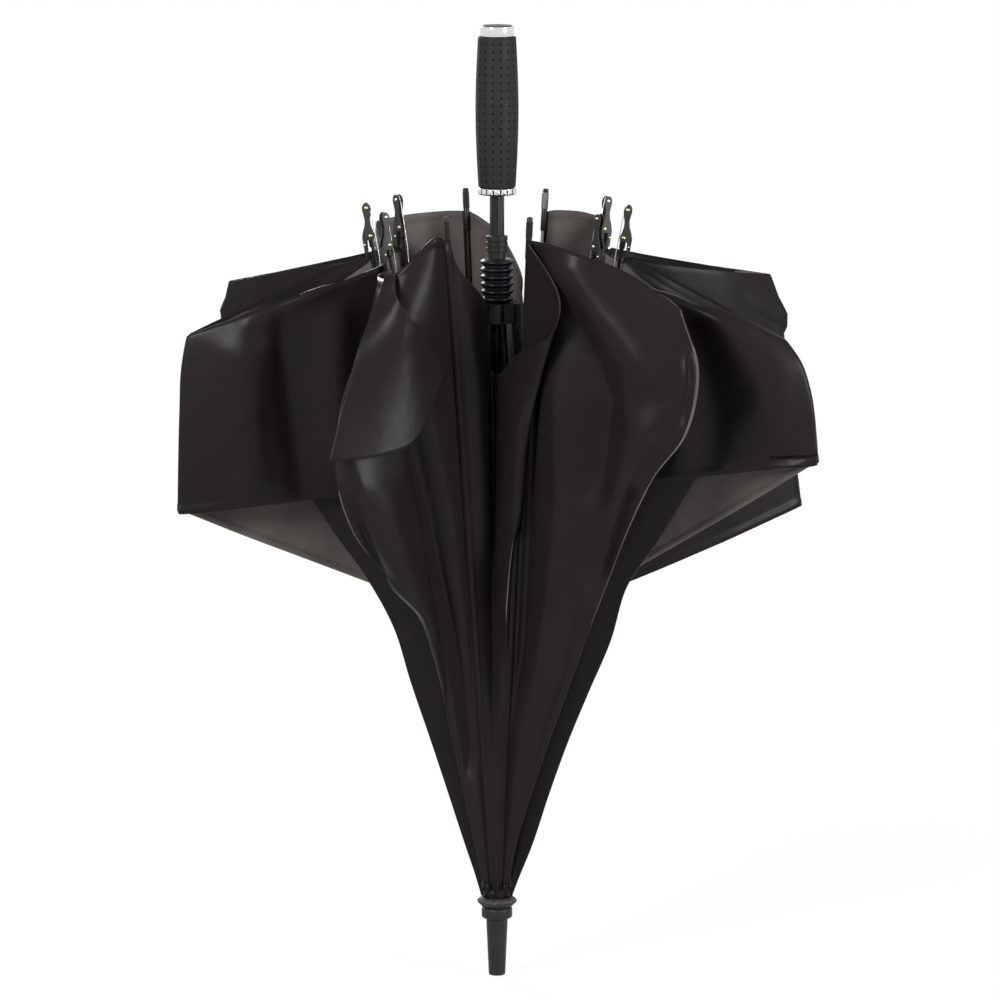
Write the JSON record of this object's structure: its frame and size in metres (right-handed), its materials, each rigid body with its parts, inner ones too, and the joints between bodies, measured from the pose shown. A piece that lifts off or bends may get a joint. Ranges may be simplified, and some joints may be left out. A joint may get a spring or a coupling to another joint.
{
  "type": "stick umbrella",
  "caption": "Black two-person stick umbrella, closed but not rolled up, with a dotted straight grip, sliding runner, hinged ribs and folded canopy.",
  "frame": {"origin": "middle of the handle's flat end face", "axes": "+Z along the shaft, from the ferrule to the handle's end; +X to the right and -Y towards the viewer of the picture"},
  "size_m": [0.6254, 0.3331, 0.9567],
  "materials": {
    "grip_rubber": "matt soft-touch",
    "black_metal": "glossy black",
    "black_plastic": "semi-gloss black",
    "chrome": "polished",
    "lever_metal": "dark grey, satin",
    "cloth": "black pongee with a satin sheen"
  },
  "bodies": {
    "shaft": {"shaft_tube": "black_metal", "handle_grip": "grip_rubber", "handle_end_cap": "black_plastic", "handle_end_ring": "chrome", "handle_lower_ring": "chrome", "crown_hub": "black_plastic", "canopy_rosette": "cloth", "ferrule_collar": "black_metal", "ferrule_tip": "black_metal"},
    "runner": {"runner_sleeve": "black_plastic", "runner_grip": "black_plastic", "runner_spider": "black_plastic"},
    "rib_1": {"rib_1": "black_metal"},
    "rib_2": {"rib_2": "black_metal"},
    "rib_3": {"rib_3": "black_metal"},
    "rib_4": {"rib_4": "black_metal"},
    "rib_5": {"rib_5": "black_metal"},
    "rib_6": {"rib_6": "black_metal"},
    "rib_7": {"rib_7": "black_metal"},
    "rib_8": {"rib_8": "black_metal"},
    "rib_9": {"rib_9": "black_metal"},
    "rib_10": {"rib_10": "black_metal"},
    "stretcher_1": {"stretcher_1": "black_metal"},
    "stretcher_2": {"stretcher_2": "black_metal"},
    "stretcher_3": {"stretcher_3": "black_metal"},
    "stretcher_4": {"stretcher_4": "black_metal"},
    "stretcher_5": {"stretcher_5": "black_metal"},
    "stretcher_6": {"stretcher_6": "black_metal"},
    "stretcher_7": {"stretcher_7": "black_metal"},
    "stretcher_8": {"stretcher_8": "black_metal"},
    "stretcher_9": {"stretcher_9": "black_metal"},
    "stretcher_10": {"stretcher_10": "black_metal"},
    "extension_arm_1": {"extension_arm_1": "lever_metal"},
    "extension_arm_2": {"extension_arm_2": "lever_metal"},
    "extension_arm_3": {"extension_arm_3": "lever_metal"},
    "extension_arm_4": {"extension_arm_4": "lever_metal"},
    "extension_arm_5": {"extension_arm_5": "lever_metal"},
    "extension_arm_6": {"extension_arm_6": "lever_metal"},
    "gore_1a": {"canopy_gore_1a": "cloth"},
    "gore_1b": {"canopy_gore_1b": "cloth"},
    "gore_2a": {"canopy_gore_2a": "cloth"},
    "gore_2b": {"canopy_gore_2b": "cloth"},
    "gore_3a": {"canopy_gore_3a": "cloth"},
    "gore_3b": {"canopy_gore_3b": "cloth"},
    "gore_4a": {"canopy_gore_4a": "cloth"},
    "gore_4b": {"canopy_gore_4b": "cloth"},
    "gore_5a": {"canopy_gore_5a": "cloth"},
    "gore_5b": {"canopy_gore_5b": "cloth"},
    "gore_6a": {"canopy_gore_6a": "cloth"},
    "gore_6b": {"canopy_gore_6b": "cloth"},
    "gore_7a": {"canopy_gore_7a": "cloth"},
    "gore_7b": {"canopy_gore_7b": "cloth"},
    "gore_8a": {"canopy_gore_8a": "cloth"},
    "gore_8b": {"canopy_gore_8b": "cloth"},
    "gore_9a": {"canopy_gore_9a": "cloth"},
    "gore_9b": {"canopy_gore_9b": "cloth"},
    "gore_10a": {"canopy_gore_10a": "cloth"},
    "gore_10b": {"canopy_gore_10b": "cloth"}
  },
  "joints": [
    {"name": "runner_slide", "type": "slide", "parent": "shaft", "child": "runner", "axis": [0, 0, -1], "range_m": [0, 0.42581], "deforming": ["canopy_gore_1a", "canopy_gore_1b", "canopy_gore_2a", "canopy_gore_2b", "canopy_gore_3a", "canopy_gore_3b", "canopy_gore_4a", "canopy_gore_4b", "canopy_gore_5a", "canopy_gore_5b", "canopy_gore_6a", "canopy_gore_6b", "canopy_gore_7a", "canopy_gore_7b", "canopy_gore_8a", "canopy_gore_8b", "canopy_gore_9a", "canopy_gore_9b", "canopy_gore_10a", "canopy_gore_10b"]},
    {"name": "rib_1_hinge", "type": "hinge", "parent": "shaft", "child": "rib_1", "pos_m": [0.01097, -0.00077, -0.863], "axis": [0.0698, 0.9976, 0], "range_deg": [0, 70.15]},
    {"name": "rib_2_hinge", "type": "hinge", "parent": "shaft", "child": "rib_2", "pos_m": [0.00933, 0.00583, -0.863], "axis": [-0.5299, 0.848, 0], "range_deg": [0, 70.15]},
    {"name": "rib_3_hinge", "type": "hinge", "parent": "shaft", "child": "rib_3", "pos_m": [0.00412, 0.0102, -0.863], "axis": [-0.9272, 0.3746, 0], "range_deg": [0, 70.15]},
    {"name": "rib_4_hinge", "type": "hinge", "parent": "shaft", "child": "rib_4", "pos_m": [-0.00266, 0.01067, -0.863], "axis": [-0.9703, -0.2419, 0], "range_deg": [0, 70.15]},
    {"name": "rib_5_hinge", "type": "hinge", "parent": "shaft", "child": "rib_5", "pos_m": [-0.00843, 0.00707, -0.863], "axis": [-0.6428, -0.766, 0], "range_deg": [0, 70.15]},
    {"name": "rib_6_hinge", "type": "hinge", "parent": "shaft", "child": "rib_6", "pos_m": [-0.01097, 0.00077, -0.863], "axis": [-0.0698, -0.9976, 0], "range_deg": [0, 70.15]},
    {"name": "rib_7_hinge", "type": "hinge", "parent": "shaft", "child": "rib_7", "pos_m": [-0.00933, -0.00583, -0.863], "axis": [0.5299, -0.848, 0], "range_deg": [0, 70.15]},
    {"name": "rib_8_hinge", "type": "hinge", "parent": "shaft", "child": "rib_8", "pos_m": [-0.00412, -0.0102, -0.863], "axis": [0.9272, -0.3746, 0], "range_deg": [0, 70.15]},
    {"name": "rib_9_hinge", "type": "hinge", "parent": "shaft", "child": "rib_9", "pos_m": [0.00266, -0.01067, -0.863], "axis": [0.9703, 0.2419, 0], "range_deg": [0, 70.15]},
    {"name": "rib_10_hinge", "type": "hinge", "parent": "shaft", "child": "rib_10", "pos_m": [0.00843, -0.00707, -0.863], "axis": [0.6428, 0.766, 0], "range_deg": [0, 70.15]},
    {"name": "stretcher_1_hinge", "type": "hinge", "parent": "rib_1", "child": "stretcher_1", "pos_m": [0.05577, -0.0039, -0.57544], "axis": [0.0698, 0.9976, 0], "range_deg": [-133.61, 0]},
    {"name": "stretcher_2_hinge", "type": "hinge", "parent": "rib_2", "child": "stretcher_2", "pos_m": [0.04741, 0.02963, -0.57544], "axis": [-0.5299, 0.848, 0], "range_deg": [-133.61, 0]},
    {"name": "stretcher_3_hinge", "type": "hinge", "parent": "rib_3", "child": "stretcher_3", "pos_m": [0.02094, 0.05184, -0.57544], "axis": [-0.9272, 0.3746, 0], "range_deg": [-133.61, 0]},
    {"name": "stretcher_4_hinge", "type": "hinge", "parent": "rib_4", "child": "stretcher_4", "pos_m": [-0.01353, 0.05425, -0.57544], "axis": [-0.9703, -0.2419, 0], "range_deg": [-133.61, 0]},
    {"name": "stretcher_5_hinge", "type": "hinge", "parent": "rib_5", "child": "stretcher_5", "pos_m": [-0.04283, 0.03594, -0.57544], "axis": [-0.6428, -0.766, 0], "range_deg": [-133.61, 0]},
    {"name": "stretcher_6_hinge", "type": "hinge", "parent": "rib_6", "child": "stretcher_6", "pos_m": [-0.05577, 0.0039, -0.57544], "axis": [-0.0698, -0.9976, 0], "range_deg": [-133.61, 0]},
    {"name": "stretcher_7_hinge", "type": "hinge", "parent": "rib_7", "child": "stretcher_7", "pos_m": [-0.04741, -0.02963, -0.57544], "axis": [0.5299, -0.848, 0], "range_deg": [-133.61, 0]},
    {"name": "stretcher_8_hinge", "type": "hinge", "parent": "rib_8", "child": "stretcher_8", "pos_m": [-0.02094, -0.05184, -0.57544], "axis": [0.9272, -0.3746, 0], "range_deg": [-133.61, 0]},
    {"name": "stretcher_9_hinge", "type": "hinge", "parent": "rib_9", "child": "stretcher_9", "pos_m": [0.01353, -0.05425, -0.57544], "axis": [0.9703, 0.2419, 0], "range_deg": [-133.61, 0]},
    {"name": "stretcher_10_hinge", "type": "hinge", "parent": "rib_10", "child": "stretcher_10", "pos_m": [0.04283, -0.03594, -0.57544], "axis": [0.6428, 0.766, 0], "range_deg": [-133.61, 0]},
    {"name": "extension_arm_1_hinge", "type": "hinge", "parent": "rib_1", "child": "extension_arm_1", "pos_m": [0.12486, -0.00873, -0.20889], "axis": [0.0698, 0.9976, 0], "range_deg": [-4.05, 0]},
    {"name": "extension_arm_2_hinge", "type": "hinge", "parent": "rib_2", "child": "extension_arm_2", "pos_m": [0.10614, 0.06632, -0.20889], "axis": [-0.5299, 0.848, 0], "range_deg": [-4.05, 0]},
    {"name": "extension_arm_3_hinge", "type": "hinge", "parent": "rib_5", "child": "extension_arm_3", "pos_m": [-0.09588, 0.08045, -0.20889], "axis": [-0.6428, -0.766, 0], "range_deg": [-4.05, 0]},
    {"name": "extension_arm_4_hinge", "type": "hinge", "parent": "rib_6", "child": "extension_arm_4", "pos_m": [-0.12486, 0.00873, -0.20889], "axis": [-0.0698, -0.9976, 0], "range_deg": [-4.05, 0]},
    {"name": "extension_arm_5_hinge", "type": "hinge", "parent": "rib_7", "child": "extension_arm_5", "pos_m": [-0.10614, -0.06632, -0.20889], "axis": [0.5299, -0.848, 0], "range_deg": [-4.05, 0]},
    {"name": "extension_arm_6_hinge", "type": "hinge", "parent": "rib_10", "child": "extension_arm_6", "pos_m": [0.09588, -0.08045, -0.20889], "axis": [0.6428, 0.766, 0], "range_deg": [-4.05, 0]},
    {"name": "gore_1a_seam", "type": "hinge", "parent": "rib_1", "child": "gore_1a", "pos_m": [0.01392, -0.00097, -0.86352], "axis": [0.1715, -0.012, 0.9851], "range_deg": [0, 64.05]},
    {"name": "gore_1_fold", "type": "hinge", "parent": "gore_1a", "child": "gore_1b", "pos_m": [0.01611, 0.00402, -0.863], "axis": [0.4389, 0.1094, 0.8918], "range_deg": [-156.33, 0]},
    {"name": "gore_2a_seam", "type": "hinge", "parent": "rib_2", "child": "gore_2a", "pos_m": [0.01184, 0.00739, -0.86352], "axis": [0.1458, 0.0911, 0.9851], "range_deg": [0, 18.05]},
    {"name": "gore_2_fold", "type": "hinge", "parent": "gore_2a", "child": "gore_2b", "pos_m": [0.00882, 0.01051, -0.863], "axis": [0.3819, 0.4551, 0.8044], "range_deg": [-70.23, 0]},
    {"name": "gore_3a_seam", "type": "hinge", "parent": "rib_3", "child": "gore_3a", "pos_m": [0.00523, 0.01294, -0.86352], "axis": [0.0644, 0.1594, 0.9851], "range_deg": [-40.05, 0]},
    {"name": "gore_3_fold", "type": "hinge", "parent": "gore_3a", "child": "gore_3b", "pos_m": [0.00094, 0.0135, -0.863], "axis": [-0.027, -0.3864, 0.9219], "range_deg": [0, 57.99]},
    {"name": "gore_4a_seam", "type": "hinge", "parent": "rib_4", "child": "gore_4a", "pos_m": [-0.00338, 0.01354, -0.86352], "axis": [-0.0416, 0.1668, 0.9851], "range_deg": [0, 18.05]},
    {"name": "gore_4_fold", "type": "hinge", "parent": "gore_4a", "child": "gore_4b", "pos_m": [-0.00727, 0.01164, -0.863], "axis": [-0.3148, 0.5039, 0.8044], "range_deg": [-70.23, 0]},
    {"name": "gore_5a_seam", "type": "hinge", "parent": "rib_5", "child": "gore_5a", "pos_m": [-0.01069, 0.00897, -0.86352], "axis": [-0.1317, 0.1105, 0.9851], "range_deg": [0, 64.05]},
    {"name": "gore_5_fold", "type": "hinge", "parent": "gore_5a", "child": "gore_5b", "pos_m": [-0.01539, 0.00622, -0.863], "axis": [-0.4194, 0.1695, 0.8918], "range_deg": [-156.33, 0]},
    {"name": "gore_6a_seam", "type": "hinge", "parent": "rib_6", "child": "gore_6a", "pos_m": [-0.01392, 0.00097, -0.86352], "axis": [-0.1715, 0.012, 0.9851], "range_deg": [0, 64.05]},
    {"name": "gore_6_fold", "type": "hinge", "parent": "gore_6a", "child": "gore_6b", "pos_m": [-0.01611, -0.00402, -0.863], "axis": [-0.4389, -0.1094, 0.8918], "range_deg": [-156.33, 0]},
    {"name": "gore_7a_seam", "type": "hinge", "parent": "rib_7", "child": "gore_7a", "pos_m": [-0.01184, -0.00739, -0.86352], "axis": [-0.1458, -0.0911, 0.9851], "range_deg": [0, 46.05]},
    {"name": "gore_7_fold", "type": "hinge", "parent": "gore_7a", "child": "gore_7b", "pos_m": [-0.00993, -0.01184, -0.863], "axis": [-0.302, -0.3599, 0.8828], "range_deg": [-122.12, 0]},
    {"name": "gore_8a_seam", "type": "hinge", "parent": "rib_8", "child": "gore_8a", "pos_m": [-0.00523, -0.01294, -0.86352], "axis": [-0.0644, -0.1594, 0.9851], "range_deg": [-40.05, 0]},
    {"name": "gore_8_fold", "type": "hinge", "parent": "gore_8a", "child": "gore_8b", "pos_m": [-0.00094, -0.0135, -0.863], "axis": [0.027, 0.3864, 0.9219], "range_deg": [0, 57.99]},
    {"name": "gore_9a_seam", "type": "hinge", "parent": "rib_9", "child": "gore_9a", "pos_m": [0.00338, -0.01354, -0.86352], "axis": [0.0416, -0.1668, 0.9851], "range_deg": [0, 58.05]},
    {"name": "gore_9_fold", "type": "hinge", "parent": "gore_9a", "child": "gore_9b", "pos_m": [0.00858, -0.01374, -0.863], "axis": [0.241, -0.3857, 0.8906], "range_deg": [-144.91, 0]},
    {"name": "gore_10a_seam", "type": "hinge", "parent": "rib_10", "child": "gore_10a", "pos_m": [0.01069, -0.00897, -0.86352], "axis": [0.1317, -0.1105, 0.9851], "range_deg": [0, 64.05]},
    {"name": "gore_10_fold", "type": "hinge", "parent": "gore_10a", "child": "gore_10b", "pos_m": [0.01539, -0.00622, -0.863], "axis": [0.4194, -0.1695, 0.8918], "range_deg": [-156.33, 0]}
  ],
  "couplings": [
    {"joint": "rib_1_hinge", "follows": "runner_slide", "rad_per_m": 2.8733},
    {"joint": "rib_2_hinge", "follows": "runner_slide", "rad_per_m": 2.8733},
    {"joint": "rib_3_hinge", "follows": "runner_slide", "rad_per_m": 2.8733},
    {"joint": "rib_4_hinge", "follows": "runner_slide", "rad_per_m": 2.8733},
    {"joint": "rib_5_hinge", "follows": "runner_slide", "rad_per_m": 2.8733},
    {"joint": "rib_6_hinge", "follows": "runner_slide", "rad_per_m": 2.8733},
    {"joint": "rib_7_hinge", "follows": "runner_slide", "rad_per_m": 2.8733},
    {"joint": "rib_8_hinge", "follows": "runner_slide", "rad_per_m": 2.8733},
    {"joint": "rib_9_hinge", "follows": "runner_slide", "rad_per_m": 2.8733},
    {"joint": "rib_10_hinge", "follows": "runner_slide", "rad_per_m": 2.8733},
    {"joint": "stretcher_1_hinge", "follows": "runner_slide", "rad_per_m": -5.4744},
    {"joint": "stretcher_2_hinge", "follows": "runner_slide", "rad_per_m": -5.4744},
    {"joint": "stretcher_3_hinge", "follows": "runner_slide", "rad_per_m": -5.4744},
    {"joint": "stretcher_4_hinge", "follows": "runner_slide", "rad_per_m": -5.4744},
    {"joint": "stretcher_5_hinge", "follows": "runner_slide", "rad_per_m": -5.4744},
    {"joint": "stretcher_6_hinge", "follows": "runner_slide", "rad_per_m": -5.4744},
    {"joint": "stretcher_7_hinge", "follows": "runner_slide", "rad_per_m": -5.4744},
    {"joint": "stretcher_8_hinge", "follows": "runner_slide", "rad_per_m": -5.4744},
    {"joint": "stretcher_9_hinge", "follows": "runner_slide", "rad_per_m": -5.4744},
    {"joint": "stretcher_10_hinge", "follows": "runner_slide", "rad_per_m": -5.4744},
    {"joint": "extension_arm_1_hinge", "follows": "runner_slide", "rad_per_m": -0.16395},
    {"joint": "extension_arm_2_hinge", "follows": "runner_slide", "rad_per_m": -0.16395},
    {"joint": "extension_arm_3_hinge", "follows": "runner_slide", "rad_per_m": -0.16395},
    {"joint": "extension_arm_4_hinge", "follows": "runner_slide", "rad_per_m": -0.16395},
    {"joint": "extension_arm_5_hinge", "follows": "runner_slide", "rad_per_m": -0.16395},
    {"joint": "extension_arm_6_hinge", "follows": "runner_slide", "rad_per_m": -0.16395},
    {"joint": "gore_1a_seam", "follows": "runner_slide", "rad_per_m": 2.6233},
    {"joint": "gore_1_fold", "follows": "runner_slide", "rad_per_m": -6.4058},
    {"joint": "gore_2a_seam", "follows": "runner_slide", "rad_per_m": 0.73779},
    {"joint": "gore_2_fold", "follows": "runner_slide", "rad_per_m": -2.8766},
    {"joint": "gore_3a_seam", "follows": "runner_slide", "rad_per_m": -1.6395},
    {"joint": "gore_3_fold", "follows": "runner_slide", "rad_per_m": 2.3749},
    {"joint": "gore_4a_seam", "follows": "runner_slide", "rad_per_m": 0.73779},
    {"joint": "gore_4_fold", "follows": "runner_slide", "rad_per_m": -2.8766},
    {"joint": "gore_5a_seam", "follows": "runner_slide", "rad_per_m": 2.6233},
    {"joint": "gore_5_fold", "follows": "runner_slide", "rad_per_m": -6.4058},
    {"joint": "gore_6a_seam", "follows": "runner_slide", "rad_per_m": 2.6233},
    {"joint": "gore_6_fold", "follows": "runner_slide", "rad_per_m": -6.4058},
    {"joint": "gore_7a_seam", "follows": "runner_slide", "rad_per_m": 1.8855},
    {"joint": "gore_7_fold", "follows": "runner_slide", "rad_per_m": -5.0034},
    {"joint": "gore_8a_seam", "follows": "runner_slide", "rad_per_m": -1.6395},
    {"joint": "gore_8_fold", "follows": "runner_slide", "rad_per_m": 2.3749},
    {"joint": "gore_9a_seam", "follows": "runner_slide", "rad_per_m": 2.3773},
    {"joint": "gore_9_fold", "follows": "runner_slide", "rad_per_m": -5.9375},
    {"joint": "gore_10a_seam", "follows": "runner_slide", "rad_per_m": 2.6233},
    {"joint": "gore_10_fold", "follows": "runner_slide", "rad_per_m": -6.4058}
  ]
}
